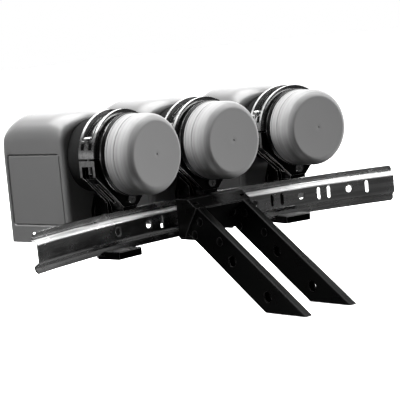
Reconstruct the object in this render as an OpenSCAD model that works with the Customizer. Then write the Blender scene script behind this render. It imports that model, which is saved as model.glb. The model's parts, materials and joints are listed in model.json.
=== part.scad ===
// Three-feed holder for a satellite dish: two arms carry a curved rail, and
// each feed is held over the rail by a split ring clamp with its own rail jaw.
// X runs along the rail, Y away from the dish, Z up. The origin is the centre
// of the lower mounting bolt, midway between the two arms. Millimetres.

/* [Rail] */
// Radius of the rail's front face, seen from above
rail_radius = 476; // [400:1:700]
// Angle that the rail covers
rail_span = 45.6; // [42:0.2:50]
// Angle by which the rail sits off the arms' centre line
rail_shift = 0.5; // [-1:0.1:1]
// Height of the flat web between its bends
rail_web = 14.4; // [13:0.2:18]
// Overall height of the rail, lip to lip
rail_height = 31.2; // [29:0.2:36]
// Depth of the rail from its front face to the back of its lips
rail_depth = 5.8; // [5:0.1:7]
// Sheet thickness of the rail
rail_sheet = 1.5; // [1:0.1:1.8]
// Width of the slots in the web
slot_width = 3.2; // [2.4:0.1:4]
// Length of the slots in the web
slot_length = 10; // [6:0.5:11]
// Diameter of the round holes in the web
rail_hole = 5.8; // [4:0.1:7]

/* [Feeds] */
// Angle along the rail from one feed to the next
feed_step = 10.94; // [10.6:0.02:11.6]
// Angle between the axes of two neighbouring feeds
feed_turn = 7.3; // [6.5:0.1:8.5]
// Distance from a cap's face back to the rail's front face
feed_reach = 51.6; // [50.8:0.1:52.2]
// Diameter of the feed neck that the clamps hold
neck_d = 55; // [54:0.1:55.6]
// Wall of the feed neck
neck_wall = 3; // [2:0.1:5]

/* [Cap] */
// Step from the neck out to the cap's skirt
cap_step = 2.7; // [2:0.1:3.4]
// Depth of the feed cap
cap_depth = 24; // [22:0.1:24.2]
// Radius of the rounding round the cap's face
cap_round = 8.4; // [5:0.2:10]
// Angle at which the rounding leaves the cap's flat face
cap_lead = 20; // [0:1:30]
// Wall of the cap
cap_wall = 1.9; // [1.2:0.1:2.2]
// Step from the neck out to the collar
collar_step = 3.5; // [2.5:0.1:4]
// Width of the collar
collar_w = 5.2; // [3:0.1:5.6]

/* [Housing] */
// Step from the neck out to the hood's flat sides
hood_step = 3.5; // [3.2:0.1:6]
// Depth of the weather hood
hood_depth = 69; // [66:1:76]
// Height of the hood's crown above the feed axis
hood_crown = 34.5; // [33:0.5:40]
// Depth of the hood's open rim below the feed axis
hood_drop = 63.5; // [60:0.5:72]
// Wall of the hood
hood_wall = 2.4; // [1.6:0.1:3]
// Diameter over the thread of an output connector
port_d = 9.5; // [8:0.1:11]
// Length of an output connector below its plate
port_len = 16; // [14:0.5:18]
// Radius of the circle on which the connectors stand
port_ring = 19; // [15:0.5:20]

/* [Clamp] */
// Width of a ring clamp along the feed axis
clamp_w = 15.8; // [14:0.1:16]
// Height of the clamp's flanges round the neck
ring_wall = 6.5; // [6:0.1:7.5]
// Height from the ring's bore down to the rail's lip
seat_rise = 16.3; // [15.5:0.1:19]
// Thickness of the clamp's flanges
flange_t = 2.3; // [1.8:0.1:3]
// Gap between the clamp's two halves
split_gap = 1.6; // [0.8:0.1:2.4]
// Diameter of the ring screws
ring_screw_d = 4; // [3:0.1:4.4]
// Diameter of the jaw screw
jaw_screw_d = 5; // [4:0.1:5.4]
// Width of the rail jaw
jaw_w = 24.4; // [20:0.1:25]
// Thickness of the jaw's upright
jaw_t = 3.6; // [3:0.1:4]

/* [Arms] */
// Slope of the arms below the feed axes
arm_slope = 34.9; // [33:0.1:37]
// Clear distance between the arms
arm_gap = 38.8; // [38:0.2:46]
// Width of an arm
arm_w = 7.8; // [7:0.1:9]
// Height of an arm
arm_h = 25; // [24:0.5:27]
// Wall of the arm tube
arm_wall = 1.4; // [1:0.1:1.8]
// Distance from the lower mounting bolt to the arm's upper end
arm_reach = 95; // [92:1:130]
// Distance between the two mounting bolts
bolt_pitch = 43.7; // [35:0.1:48]
// Diameter of the mounting bolt holes
bolt_hole_d = 8.5; // [6:0.1:10]
// Drop of the level arm ends below the lower bolt
arm_drop = 12; // [9:0.5:40]

/* [Fits] */
// Clearance where a part turns or slides on another
turn_fit = 0.06; // [0.02:0.01:0.1]
// Clearance between the clamps and the rail
rail_fit = 0.4; // [0.3:0.05:0.6]
// Clearance between fixed pieces that meet on a curve
seat_fit = 0.1; // [0.05:0.01:0.2]

/* [Hidden] */
$fn = 64;
eps = 0.01;
// how far a cutter may run past what it cuts
beyond = 100;

// where the arms meet the head, in the plane of the arms
head_play = 0.2;
stub_len = 36;
cheek_lap = 1.5;
cheek_t = 2;

// radii about the feed axis
neck_r = neck_d / 2;
cap_r = neck_r + cap_step;
collar_r = neck_r + collar_step;
hood_w = 2 * (neck_r + hood_step);
ring_bore = neck_r + turn_fit;
ring_floor = ring_bore + 2.3;
clamp_r = ring_bore + ring_wall;

// rail section, r from the front face and z from the middle
lip_rise = rail_height / 2;
lip_lean = 1.7;
knee_rise = 2.6;
knee_z = rail_web / 2 + knee_rise;
bend_r = 2;
lip_round = 4;

// pattern of holes along the rail, in degrees from its middle
hole_first = 7.2;
hole_step = 5.5;
slot_offset = 2.05;
slot_pair = 1.15;
left_holes = [-10.5, -6.3];
left_slot = -4.6;

// levels and places of the arms, the head and the rail
arm_top_y = arm_reach * cos(arm_slope) - arm_h / 2 * sin(arm_slope);
arm_top_z = arm_reach * sin(arm_slope) + arm_h / 2 * cos(arm_slope);
arm_mid_x = arm_gap / 2 + arm_w / 2;
head_wall = 2.6;
head_len = 24.5;
head_lead = 1.2;
roof_rise = 6.6;
back_h = 27;
spacer_len = 9;
spacer_d = 12;
head_front = arm_top_y - head_lead;
head_roof_z = arm_top_z + roof_rise;
head_back = head_front + head_len;
rail_bolt_d = 6;
rail_bolt_x = 12.6;
rail_mid_z = head_roof_z - 16.4;
rail_face_y = head_back + spacer_len + rail_fit + seat_fit;
rail_centre_y = rail_face_y - rail_radius;
feed_rise = ring_bore + seat_rise + lip_rise;
feed_z = rail_mid_z + feed_rise;

// clamp, y back from the cap's face and z from the feed axis
collar_y = cap_depth + 0.3;
clamp_y = collar_y + collar_w + 2.3;
clamp_end = clamp_y + clamp_w;
clamp_mid = (clamp_y + clamp_end) / 2;
ear_z = 13;
base_z = ring_bore + 11.3;
base_half = 7.5;
flank_x = 10.8;
flank_z = base_z - 3.6;
ear_wall = 3.6;
ear_floor = 4.2;
ear_pad = 6.2;
pocket_h = 5.2;
pocket_w = 3.4;
pocket_dy = 3.9;
pocket_depth = 5;
pocket_shelf = 1.6;
bow_seat = split_gap / 2 + ear_pad + pocket_h + pocket_shelf;
ring_screw_x = (clamp_r + ring_bore) / 2 - 0.4;
jaw_screw_z = -(ring_bore + base_z) / 2;

// jaw that hooks round the rail, with room for the clamp's skew to it
skew_room = 0.9;
lip_back = feed_reach + rail_depth;
lip_front = lip_back - rail_sheet - lip_lean;
jaw_fit = rail_fit + skew_room;
upright_y = lip_back + jaw_fit;
upright_end = upright_y + jaw_t;
seat_z = -feed_rise + lip_rise + rail_fit;
foot_t = 6.2;
foot_len = 16;
foot_top = -feed_rise - knee_z - 2.8;
foot_bottom = foot_top - foot_t;
foot_back = lip_front - jaw_fit;
foot_front = foot_back - foot_len;

// corrugated horn behind the cap
horn_bore = 9;
horn_floor = 4;
horn_guide_len = 12;
horn_fin_len = 9;
horn_fin = 1.2;
horn_fins = 3;

// hood and the converter inside it
hood_gap = 4.3;
hood_y = upright_end + hood_gap;
hood_end = hood_y + hood_depth;
hood_side_r = 2.9;
hood_front_reach = 22;
hood_front_fall = 6.2;
hood_rear_r = 18;
shoulder_drop = 20;
panel_depth = 0.7;
panel_front = 5.2;
panel_rear = 5.6;
panel_top = 4.5;
panel_low = 13;
box_gap = 1.6;
box_wall = 2.4;
body_y = hood_y + hood_wall + box_gap;
body_end = hood_end - hood_wall - box_gap - 1;
body_half = hood_w / 2 - hood_wall - box_gap;
body_top = neck_r - 7;
body_floor = -neck_r - 6.5;
plate_t = 2.5;
port_boss = 2;
port_nut = port_d + 2.5;
port_root = port_d + 0.6;
port_nut_t = 2.6;
port_bore = 6;
port_recess = 3;
board_t = 1.6;
board_gap = 0.3;

black = [0.05, 0.05, 0.055];
chrome = [0.78, 0.79, 0.8];
zinc = [0.62, 0.63, 0.64];
pale = [0.72, 0.72, 0.71];
grey = [0.5, 0.51, 0.51];
steel = [0.7, 0.71, 0.72];
cast = [0.66, 0.67, 0.68];

// ---------- shared shapes ----------

// points of an arc about c from angle a0 to a1
function arc(c, r, a0, a1, n = 6) =
    [for (i = [0:n]) let (a = a0 + (a1 - a0) * i / n) c + r * [cos(a), sin(a)]];

function unit(v) = v / norm(v);

// one bend of a path: the corner b between a and c, rounded by straight steps
function bend(a, b, c, r, n = 5) =
    let (u = unit(a - b), v = unit(c - b), half = acos(u * v) / 2,
         cut = r / tan(half), m = b + unit(u + v) * r / sin(half),
         p = b + u * cut - m, q = b + v * cut - m,
         sweep = 180 - 2 * half, s = sign(p[0] * q[1] - p[1] * q[0]))
    [for (i = [0:n]) let (t = s * sweep * i / n)
        m + [p[0] * cos(t) - p[1] * sin(t), p[0] * sin(t) + p[1] * cos(t)]];

// a path shifted sideways by d, with its corners mitred
function shifted(p, d) =
    [for (i = [0:len(p) - 1])
        let (a = unit(p[min(i + 1, len(p) - 1)] - p[min(i, len(p) - 2)]),
             b = unit(p[max(i, 1)] - p[max(i - 1, 0)]),
             m = unit([-a[1] - b[1], a[0] + b[0]]))
        p[i] + m * d / (m * [-a[1], a[0]])];

function reversed(p) = [for (i = [len(p) - 1:-1:0]) p[i]];

// a bent sheet of thickness t along a path
function sheet_section(p, t) = concat(shifted(p, t / 2), reversed(shifted(p, -t / 2)));

// a rounded rectangle about the origin
function rounded(w, h, r) =
    concat(arc([w / 2 - r, h / 2 - r], r, 0, 90),
           arc([r - w / 2, h / 2 - r], r, 90, 180),
           arc([r - w / 2, r - h / 2], r, 180, 270),
           arc([w / 2 - r, r - h / 2], r, 270, 360));

// lay a shape built along Z down along +Y
module along_y() {
    rotate([-90, 0, 0]) children();
}

// extrude a drawing in (x, z) back from y0 to y1
module plate_xz(y0, y1) {
    translate([0, y1, 0]) rotate([90, 0, 0]) linear_extrude(y1 - y0) children();
}

// extrude a drawing in (y, z) across from x0 to x1
module plate_yz(x0, x1) {
    translate([x0, 0, 0]) rotate([90, 0, 90]) linear_extrude(x1 - x0) children();
}

// a ring about the Y axis
module ring_y(y0, y1, r_out, r_in) {
    translate([0, y0, 0]) along_y() difference() {
        cylinder(h = y1 - y0, r = r_out);
        translate([0, 0, -1]) cylinder(h = y1 - y0 + 2, r = r_in);
    }
}

module hex(flats, h) {
    cylinder(h = h, d = flats / cos(30), $fn = 6);
}

// stand at the lower bolt, with Y up along the arms
module on_arms() {
    rotate([arm_slope, 0, 0]) children();
}

// stand at a feed: Y runs back from the cap's face along the feed axis
module at_feed(k) {
    translate([0, rail_centre_y, feed_z]) rotate(-k * feed_step)
        translate([0, rail_radius, 0]) rotate(k * (feed_step - feed_turn))
            translate([0, -feed_reach, 0]) children();
}

// stand on the rail's front face at an angle from its middle
module on_rail(a) {
    translate([0, rail_centre_y, rail_mid_z]) rotate(-a)
        translate([0, rail_radius, 0]) children();
}

// ---------- arms and head ----------

module arm_section() {
    difference() {
        polygon(rounded(arm_w, arm_h, 1.3));
        polygon(rounded(arm_w - 2 * arm_wall, arm_h - 2 * arm_wall, 0.6));
    }
}

// all that lies above the level cut at the arms' lower ends
module above_drop() {
    intersection() {
        children();
        translate([-beyond, -2 * beyond, -arm_drop]) cube([2 * beyond, 5 * beyond, 4 * beyond]);
    }
}

module feed_arm(side) {
    length_below = 3 * arm_h + arm_drop;
    color(black) above_drop() difference() {
        on_arms() translate([side * arm_mid_x, 0, 0])
            plate_xz(-length_below, arm_reach) arm_section();
        mounting_holes();
        rivet_holes();
    }
}

module mounting_holes() {
    on_arms() for (u = [0, bolt_pitch]) translate([-beyond, u, 0])
        rotate([0, 90, 0]) cylinder(h = 2 * beyond, d = bolt_hole_d);
}

// rivets that hold the head's stubs in the arm tubes
rivet_d = 4.2;
rivet_in = 7.5;
rivet_up = arm_h / 2 - 7.5;
rivet_down = 4.5 - arm_h / 2;
rivet_places = [[-rivet_in, rivet_up], [-rivet_in, rivet_down], [3 - stub_len, rivet_up]];

module rivet_holes() {
    on_arms() for (p = rivet_places) translate([-beyond, arm_reach + p[0], p[1]])
        rotate([0, 90, 0]) cylinder(h = 2 * beyond, d = rivet_d + 2 * seat_fit);
}

// side cheek of the head, in (y, z)
function cheek_points() =
    let (u = [cos(arm_slope), sin(arm_slope)], n = [-sin(arm_slope), cos(arm_slope)],
         top = arm_reach * u + arm_h / 2 * n, low = arm_reach * u - arm_h / 2 * n,
         knee = (head_roof_z - arm_top_z) / tan(arm_slope))
    [top, [top[0] + knee, head_roof_z], [head_back, head_roof_z],
     [head_back, low[1] - 3], [low[0] + 1.5, low[1] - 3], low];

module arm_head() {
    u = [cos(arm_slope), sin(arm_slope)];
    n = [-sin(arm_slope), cos(arm_slope)];
    inner = arm_gap / 2 + head_play;
    outer = arm_gap / 2 + arm_w + cheek_lap;
    arm_top = [arm_top_y, arm_top_z];
    front = [head_front, arm_top_z - (arm_top_y - head_front) * tan(arm_slope)];
    knee_y = arm_top_y + (head_roof_z - arm_top_z) / tan(arm_slope);
    flange_low = front - (arm_h + 0.8) * n;
    stub_w = arm_w - 2 * (arm_wall + seat_fit);
    stub_h = arm_h - 2 * (arm_wall + seat_fit);
    color(black) difference() {
        union() {
            for (side = [-1, 1]) {
                mirror([side < 0 ? 1 : 0, 0, 0]) plate_yz(inner, outer) polygon(cheek_points());
                on_arms() translate([side * arm_mid_x, 0, 0])
                    plate_xz(arm_reach - stub_len, arm_reach + 2)
                        polygon(rounded(stub_w, stub_h, 0.4));
            }
            // roof and front flange in one bent wall, the flange clear of the arms
            plate_yz(-arm_gap / 2 + head_play, arm_gap / 2 - head_play) polygon([
                [head_back, head_roof_z], [knee_y, head_roof_z], front, flange_low,
                flange_low + head_wall * u, front + head_wall * (u - n),
                [knee_y + 0.8, head_roof_z - head_wall],
                [head_back, head_roof_z - head_wall]]);
            plate_yz(-inner - eps, inner + eps) polygon([
                [head_back, head_roof_z], [knee_y, head_roof_z], arm_top,
                arm_top - head_wall * n, [knee_y + 0.8, head_roof_z - head_wall],
                [head_back, head_roof_z - head_wall]]);
            // back wall that the rail bolts pull on
            translate([-inner - eps, head_back - head_wall, head_roof_z - back_h])
                cube([2 * inner + 2 * eps, head_wall, back_h]);
        }
        // cheeks hollow, open underneath
        for (side = [-1, 1]) mirror([side < 0 ? 1 : 0, 0, 0])
            plate_yz(inner + head_wall, outer - cheek_t) polygon([
                [arm_top_y + 4, head_roof_z - head_wall], [head_back - cheek_t, head_roof_z - head_wall],
                [head_back - cheek_t, head_roof_z - 3 * back_h], [arm_top_y + 4, head_roof_z - 3 * back_h]]);
        rivet_holes();
        for (x = [-1, 1]) translate([x * rail_bolt_x, head_back - 20, rail_mid_z])
            along_y() cylinder(h = 40, d = rail_bolt_d + 2 * seat_fit);
    }
}

module arm_rivets() {
    half = arm_w / 2 + seat_fit / 2;
    color(steel) on_arms() for (side = [-1, 1]) for (p = rivet_places)
        translate([side * arm_mid_x, arm_reach + p[0], p[1]]) rotate([0, 90, 0]) {
            translate([0, 0, -half]) cylinder(h = 2 * half, d = rivet_d);
            for (s = [-1, 1]) translate([0, 0, s * half]) mirror([0, 0, (1 - s) / 2]) {
                cylinder(h = 0.5, d = rivet_d + 2.6);
                translate([0, 0, 0.5]) cylinder(h = 0.6, d1 = rivet_d + 2.2, d2 = rivet_d - 0.6);
            }
        }
}

// ---------- rail ----------

// centre line of the rail's sheet, upper half, from the web to the lip's edge
function rail_half() =
    let (web = [rail_sheet / 2, rail_web / 2 - 0.2],
         knee = [rail_depth - rail_sheet / 2, knee_z],
         edge = [rail_depth - rail_sheet / 2 - lip_lean, lip_rise - rail_sheet / 4])
    concat(bend([rail_sheet / 2, 0], web, knee, bend_r),
           bend(web, knee, edge, 1.6), [edge]);

function rail_path() =
    let (up = rail_half())
    concat([for (p = reversed(up)) [p[0], -p[1]]], up);

module rail_hole_at(a) {
    on_rail(a) translate([0, -5, 0]) along_y() cylinder(h = 15, d = rail_hole);
}

module rail_slot_at(a) {
    run = slot_length - slot_width;
    on_rail(a) translate([0, -5, 0]) along_y() {
        for (s = [-1, 1]) translate([0, s * run / 2, 0]) cylinder(h = 15, d = slot_width);
        translate([-slot_width / 2, -run / 2, 0]) cube([slot_width, run, 15]);
    }
}

// what is cut off to round one corner of the rail's lips
module lip_corner(side, up) {
    r = lip_round;
    mirror([side < 0 ? 1 : 0, 0, 0]) on_rail(rail_span / 2 + side * rail_shift) mirror([0, 0, up < 0 ? 1 : 0])
        plate_xz(1, rail_depth + 3) difference() {
            translate([-r, lip_rise - r]) square(r + 1);
            translate([-r, lip_rise - r]) circle(r);
        }
}

module rail() {
    color(chrome) difference() {
        translate([0, rail_centre_y, rail_mid_z]) rotate(90 - rail_span / 2 - rail_shift)
            rotate_extrude(angle = rail_span, $fn = 360)
                translate([rail_radius, 0]) polygon(sheet_section(rail_path(), rail_sheet));
        for (i = [0:2]) {
            first = hole_first + i * hole_step;
            rail_hole_at(first);
            rail_slot_at(first + slot_offset);
            if (i < 2) rail_slot_at(first + slot_offset + slot_pair);
        }
        for (a = left_holes) rail_hole_at(a);
        rail_slot_at(left_slot);
        for (side = [-1, 1]) for (up = [-1, 1]) lip_corner(side, up);
        for (x = [-1, 1]) translate([x * rail_bolt_x, rail_face_y - 10, rail_mid_z])
            along_y() cylinder(h = 20, d = rail_bolt_d + 2 * seat_fit);
    }
}

// distance that the rail's face falls back at x from its middle
function sag(x) = rail_radius - sqrt(rail_radius * rail_radius - x * x);

module rail_spacers() {
    y1 = rail_face_y - sag(rail_bolt_x + spacer_d / 2) - 0.05;
    color(steel) for (x = [-1, 1]) translate([x * rail_bolt_x, head_back, rail_mid_z])
        along_y() difference() {
            cylinder(h = y1 - head_back, d = spacer_d);
            translate([0, 0, -1]) cylinder(h = 2 * spacer_len, d = rail_bolt_d + 2 * seat_fit);
        }
}

nut_t = 3.2;
bolt_flats = 10;
bolt_head_t = 4;

module rail_bolts() {
    head_y = head_back - head_wall;
    tip_y = rail_face_y + rail_sheet + nut_t + 0.4;
    color(steel) for (x = [-1, 1]) translate([x * rail_bolt_x, head_y - bolt_head_t, rail_mid_z])
        along_y() {
            hex(bolt_flats, bolt_head_t);
            cylinder(h = tip_y - head_y + bolt_head_t, d = rail_bolt_d);
        }
}

module rail_nuts() {
    y0 = rail_face_y + rail_sheet - sag(rail_bolt_x - bolt_flats / 2) + 0.1;
    color(steel) for (x = [-1, 1]) translate([x * rail_bolt_x, y0, rail_mid_z])
        along_y() difference() {
            hex(bolt_flats, nut_t);
            translate([0, 0, -1]) cylinder(h = nut_t + 2, d = rail_bolt_d + seat_fit);
        }
}

// ---------- ring clamp ----------

function mirrored(p) = concat(p, [for (q = reversed(p)) [-q[0], q[1]]]);

// outline of the clamp's lower half, in (x, z)
function base_points() = mirrored([
    [clamp_r, -split_gap / 2], [clamp_r, -ear_z], [flank_x, -flank_z], [base_half, -base_z]]);

// what stays between the flanges once the flanks are hollowed
function core_points() = mirrored([
    [clamp_r - ear_wall, -split_gap / 2], [clamp_r - ear_wall, -ear_z - 1.4],
    [flank_x - 1, -flank_z + 2.1], [base_half, -base_z]]);

module clamp_base(k) {
    rib_t = 1.8;
    color(black) at_feed(k) difference() {
        union() {
            difference() {
                plate_xz(clamp_y, clamp_end) polygon(base_points());
                // flanks hollowed between the two flanges, open to the sides
                difference() {
                    plate_xz(clamp_y + flange_t, clamp_end - flange_t)
                        translate([-2 * clamp_r, -2 * base_z])
                            square([4 * clamp_r, 2 * base_z - split_gap / 2 - ear_floor]);
                    plate_xz(clamp_y, clamp_end) polygon(core_points());
                    // one rib on each flank
                    for (s = [-1, 1]) plate_xz(clamp_mid - rib_t / 2, clamp_mid + rib_t / 2)
                        polygon([for (p = [[clamp_r - 2.5, -ear_z - 6], [clamp_r - 14, -ear_z - 6],
                                           [base_half, -flank_z], [flank_x + 3.2, -flank_z]])
                            [s * p[0], p[1]]]);
                }
            }
            seat_block();
        }
        along_y() cylinder(h = hood_y, r = ring_bore);
        for (s = [-1, 1]) translate([s * ring_screw_x, clamp_mid, -ear_z])
            cylinder(h = ear_z, d = ring_screw_d + 2 * seat_fit);
        translate([0, 0, jaw_screw_z]) along_y()
            cylinder(h = hood_y, d = jaw_screw_d + 2 * seat_fit);
    }
}

// block under the ring, wide where it stands on the rail's upper lip
module seat_block() {
    half = jaw_w / 2 - 1;
    back = clamp_end - flange_t;
    step_z = -base_z - 3;
    plate_yz(-half, half) polygon([
        [back, -ring_bore - 2], [upright_y, -ring_bore - 2], [upright_y, seat_z], [back, seat_z]]);
    plate_yz(-base_half, base_half) polygon([
        [clamp_y + 1.2, -base_z + 1], [back + eps, -base_z + 1],
        [back + eps, step_z], [clamp_y + 1.2, step_z]]);
}

module clamp_bow(k) {
    y0 = clamp_y + flange_t;
    y1 = clamp_end - flange_t;
    rib_t = 1.4;
    color(zinc) at_feed(k) difference() {
        union() {
            intersection() {
                union() {
                    ring_y(clamp_y, y0, clamp_r, ring_bore);
                    ring_y(y1, clamp_end, clamp_r, ring_bore);
                    ring_y(clamp_y, clamp_end, ring_floor, ring_bore);
                }
                translate([-2 * clamp_r, 0, split_gap / 2])
                    cube([4 * clamp_r, clamp_end + 1, 2 * clamp_r]);
            }
            // the ears' pads fill the channel at both ends of the bow
            intersection() {
                ring_y(clamp_y, clamp_end, clamp_r, ring_bore);
                translate([-2 * clamp_r, y0 - eps, split_gap / 2])
                    cube([4 * clamp_r, y1 - y0 + 2 * eps, bow_seat - split_gap / 2]);
            }
            // rib along the crown of the channel, clear of the screw heads
            intersection() {
                ring_y(clamp_mid - rib_t / 2, clamp_mid + rib_t / 2, ring_floor + 1.2, ring_bore);
                translate([-2 * clamp_r, 0, bow_seat + ring_screw_d + 1])
                    cube([4 * clamp_r, clamp_end, 2 * clamp_r]);
            }
        }
        // two pockets in each ear, either side of the screw
        for (s = [-1, 1]) for (t = [-1, 1])
            translate([s * (clamp_r - pocket_depth / 2 + 1) - pocket_depth / 2,
                       clamp_mid + t * pocket_dy - pocket_w / 2, split_gap / 2 + ear_pad])
                cube([pocket_depth, pocket_w, pocket_h]);
        for (s = [-1, 1]) translate([s * ring_screw_x, clamp_mid, 0])
            cylinder(h = 2 * bow_seat, d = ring_screw_d + 2 * seat_fit);
    }
}

module ring_screws(k) {
    head_d = 1.7 * ring_screw_d;
    color(steel) at_feed(k) for (s = [-1, 1]) translate([s * ring_screw_x, clamp_mid, 0]) {
        translate([0, 0, -ear_z + 2]) cylinder(h = bow_seat + ear_z - 2, d = ring_screw_d);
        translate([0, 0, bow_seat]) difference() {
            union() {
                cylinder(h = 2, d = head_d);
                translate([0, 0, 2]) cylinder(h = 0.8, d1 = head_d, d2 = 0.74 * head_d);
            }
            cross_slot(0.58 * head_d, 1.6);
        }
    }
}

// the cross in a screw's head, up from a depth
module cross_slot(size, floor_z) {
    for (a = [0, 90]) rotate(a) translate([-size / 2, -0.12 * size, floor_z])
        cube([size, 0.24 * size, 2 * size]);
}

module rail_jaw(k) {
    top = -ring_bore - 1.6;
    floor_top = -feed_rise - lip_rise - rail_fit;
    edge = 0.6;
    knurl = 1.6;
    color(black) at_feed(k) difference() {
        // foot before the lower lip, floor under it, upright behind the rail
        plate_yz(-jaw_w / 2, jaw_w / 2) polygon([
            [foot_front, foot_bottom + edge], [foot_front, foot_top - edge],
            [foot_front + edge, foot_top], [foot_back, foot_top], [foot_back, floor_top],
            [upright_y, floor_top], [upright_y, top], [upright_end, top],
            [upright_end, foot_bottom + 2.4], [upright_end - 2.4, foot_bottom],
            [foot_front + edge, foot_bottom]]);
        translate([0, 0, jaw_screw_z]) along_y()
            cylinder(h = hood_y, d = jaw_screw_d + seat_fit);
        // upright narrowed to its screw boss
        for (s = [-1, 1]) plate_xz(upright_y - 1, upright_end + 1)
            polygon([for (p = [[7.5, top + 1], [jaw_w, top + 1], [jaw_w, top - 12],
                               [jaw_w / 2 + 0.1, top - 12]]) [s * p[0], p[1]]]);
        // knurled top of the foot
        for (y = [foot_front + knurl:knurl:foot_back - knurl])
            translate([-jaw_w, y, foot_top]) rotate([45, 0, 0]) translate([0, -0.3, -0.3])
                cube([2 * jaw_w, 0.6, 0.6]);
    }
}

module jaw_screw(k) {
    head_t = 2.1;
    head_d = 1.48 * jaw_screw_d;
    color(steel) at_feed(k) translate([0, clamp_y, jaw_screw_z]) along_y() {
        translate([0, 0, -head_t]) difference() {
            cylinder(h = head_t, d = head_d);
            rotate([180, 0, 0]) cross_slot(0.6 * head_d, -1);
        }
        translate([0, 0, -eps]) cylinder(h = upright_end + 1.4 - clamp_y, d = jaw_screw_d);
    }
}

// ---------- feed and converter ----------

// a cup about the Y axis with a rounded face at y = 0
module rounded_drum(r, round_r, y0, y1) {
    fall = round_r * cos(cap_lead);
    translate([0, y0, 0]) along_y() {
        cylinder(h = y1 - y0, r = r - round_r * (1 - sin(cap_lead)));
        translate([0, 0, fall]) cylinder(h = y1 - y0 - fall, r = r);
        intersection() {
            rotate_extrude() translate([r - round_r, fall]) circle(round_r);
            cylinder(h = y1 - y0, r = r + 1);
        }
    }
}

module feed_cap(k) {
    r = cap_r;
    rim_w = 1.3;
    line_w = 0.5;
    color(pale) at_feed(k) difference() {
        union() {
            rounded_drum(r, cap_round, 0, cap_depth);
            ring_y(cap_depth - rim_w, cap_depth, r + 0.35, r - 1);
        }
        rounded_drum(r - cap_wall, cap_round - 0.7 * cap_wall, cap_wall, cap_depth + 5);
        // mould line round the skirt, and the gate mark in the middle of the face
        ring_y(cap_depth - 4 * rim_w, cap_depth - 4 * rim_w + line_w, r + 1, r - 0.3);
        translate([0, -1, 0]) along_y() cylinder(h = 1.3, r = 0.9);
    }
}

// corrugated horn that closes the front of the neck
module feed_horn(k) {
    r = cap_r - cap_wall - 2 * seat_fit;
    back = cap_depth - 1;
    front = back - horn_floor;
    pitch = (r - 2.5 * horn_fin - horn_bore) / horn_fins;
    color(cast) at_feed(k) {
        ring_y(front, back, r, horn_bore);
        // waveguide in the middle, and lower fins round it
        ring_y(front - horn_guide_len, front + eps, horn_bore + horn_fin, horn_bore);
        for (i = [1:horn_fins]) let (fin_r = horn_bore + i * pitch)
            ring_y(front - horn_fin_len + i, front + eps, fin_r + horn_fin, fin_r);
    }
}

module feed_collar(k) {
    r = collar_r;
    bore = neck_r + seat_fit;
    edge = 0.8;
    color(zinc) at_feed(k) along_y() rotate_extrude() polygon([
        [bore, collar_y], [r - edge, collar_y], [r, collar_y + edge],
        [r, collar_y + collar_w - edge], [r - edge, collar_y + collar_w],
        [bore, collar_y + collar_w]]);
}

module converter_body(k) {
    neck_y = cap_depth - 1 + seat_fit;
    box_len = body_end - body_y;
    color(cast) at_feed(k) difference() {
        union() {
            translate([0, neck_y, 0]) along_y() cylinder(h = body_y + box_wall - neck_y, r = neck_r);
            translate([-body_half, body_y, body_floor])
                cube([2 * body_half, box_len, body_top - body_floor]);
        }
        translate([-body_half + box_wall, body_y + box_wall, body_floor - 1])
            cube([2 * (body_half - box_wall), box_len - 2 * box_wall,
                  body_top - body_floor - box_wall + 1]);
        along_y() cylinder(h = body_y, r = neck_r - neck_wall);
        along_y() cylinder(h = body_y + 2 * box_wall, r = horn_bore);
    }
}

module converter_board(k) {
    half = body_half - box_wall - board_gap;
    y0 = body_y + box_wall + board_gap;
    y1 = body_end - box_wall - board_gap;
    inset = 4;
    color("darkgreen") at_feed(k) difference() {
        translate([-half, y0, body_floor + 10]) cube([2 * half, y1 - y0, board_t]);
        for (x = [inset - half, half - inset]) for (y = [y0 + inset, y1 - inset])
            translate([x, y, body_floor]) cylinder(h = 20, d = 3.2);
    }
}

// stand at each of the four output ports
module at_ports() {
    for (a = [45:90:315]) translate([0, (body_y + body_end) / 2, 0])
        rotate(a) translate([port_ring, 0, 0]) rotate(-a) children();
}

module port_plate(k) {
    color(cast) at_feed(k) difference() {
        union() {
            translate([-body_half, body_y, body_floor - plate_t])
                cube([2 * body_half, body_end - body_y, plate_t]);
            at_ports() translate([0, 0, body_floor - plate_t - port_boss])
                cylinder(h = port_boss + 1, d = port_root + 5.4);
        }
        at_ports() translate([0, 0, body_floor - 3 * plate_t])
            cylinder(h = 4 * plate_t, d = port_root + 2 * seat_fit);
    }
}

// connector: thread, relief groove, hexagon under the boss and a root in the plate
module ports(k) {
    low = body_floor - plate_t - port_len;
    nut_z = body_floor - plate_t - port_boss - port_nut_t;
    relief = 1.4;
    color(steel) at_feed(k) at_ports() difference() {
        union() {
            translate([0, 0, low]) cylinder(h = nut_z - relief - low, d = port_d);
            translate([0, 0, nut_z - relief - eps])
                cylinder(h = relief + port_nut_t, d = port_d - 1);
            translate([0, 0, nut_z]) hex(port_nut, port_nut_t);
            translate([0, 0, nut_z + 1]) cylinder(h = body_floor - 0.2 - nut_z - 1, d = port_root);
        }
        translate([0, 0, low - 1]) cylinder(h = 1 + port_recess, d = port_bore);
    }
}

// front view of the hood: straight sides, rounded shoulders and a flat crown
function arch(w, top, shoulder, drop) = mirrored(concat(
    [[w, -drop]],
    [for (a = [0:9:90]) [w * pow(max(cos(a), 0), 0.72), shoulder + (top - shoulder) * pow(sin(a), 0.8)]]));

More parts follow.
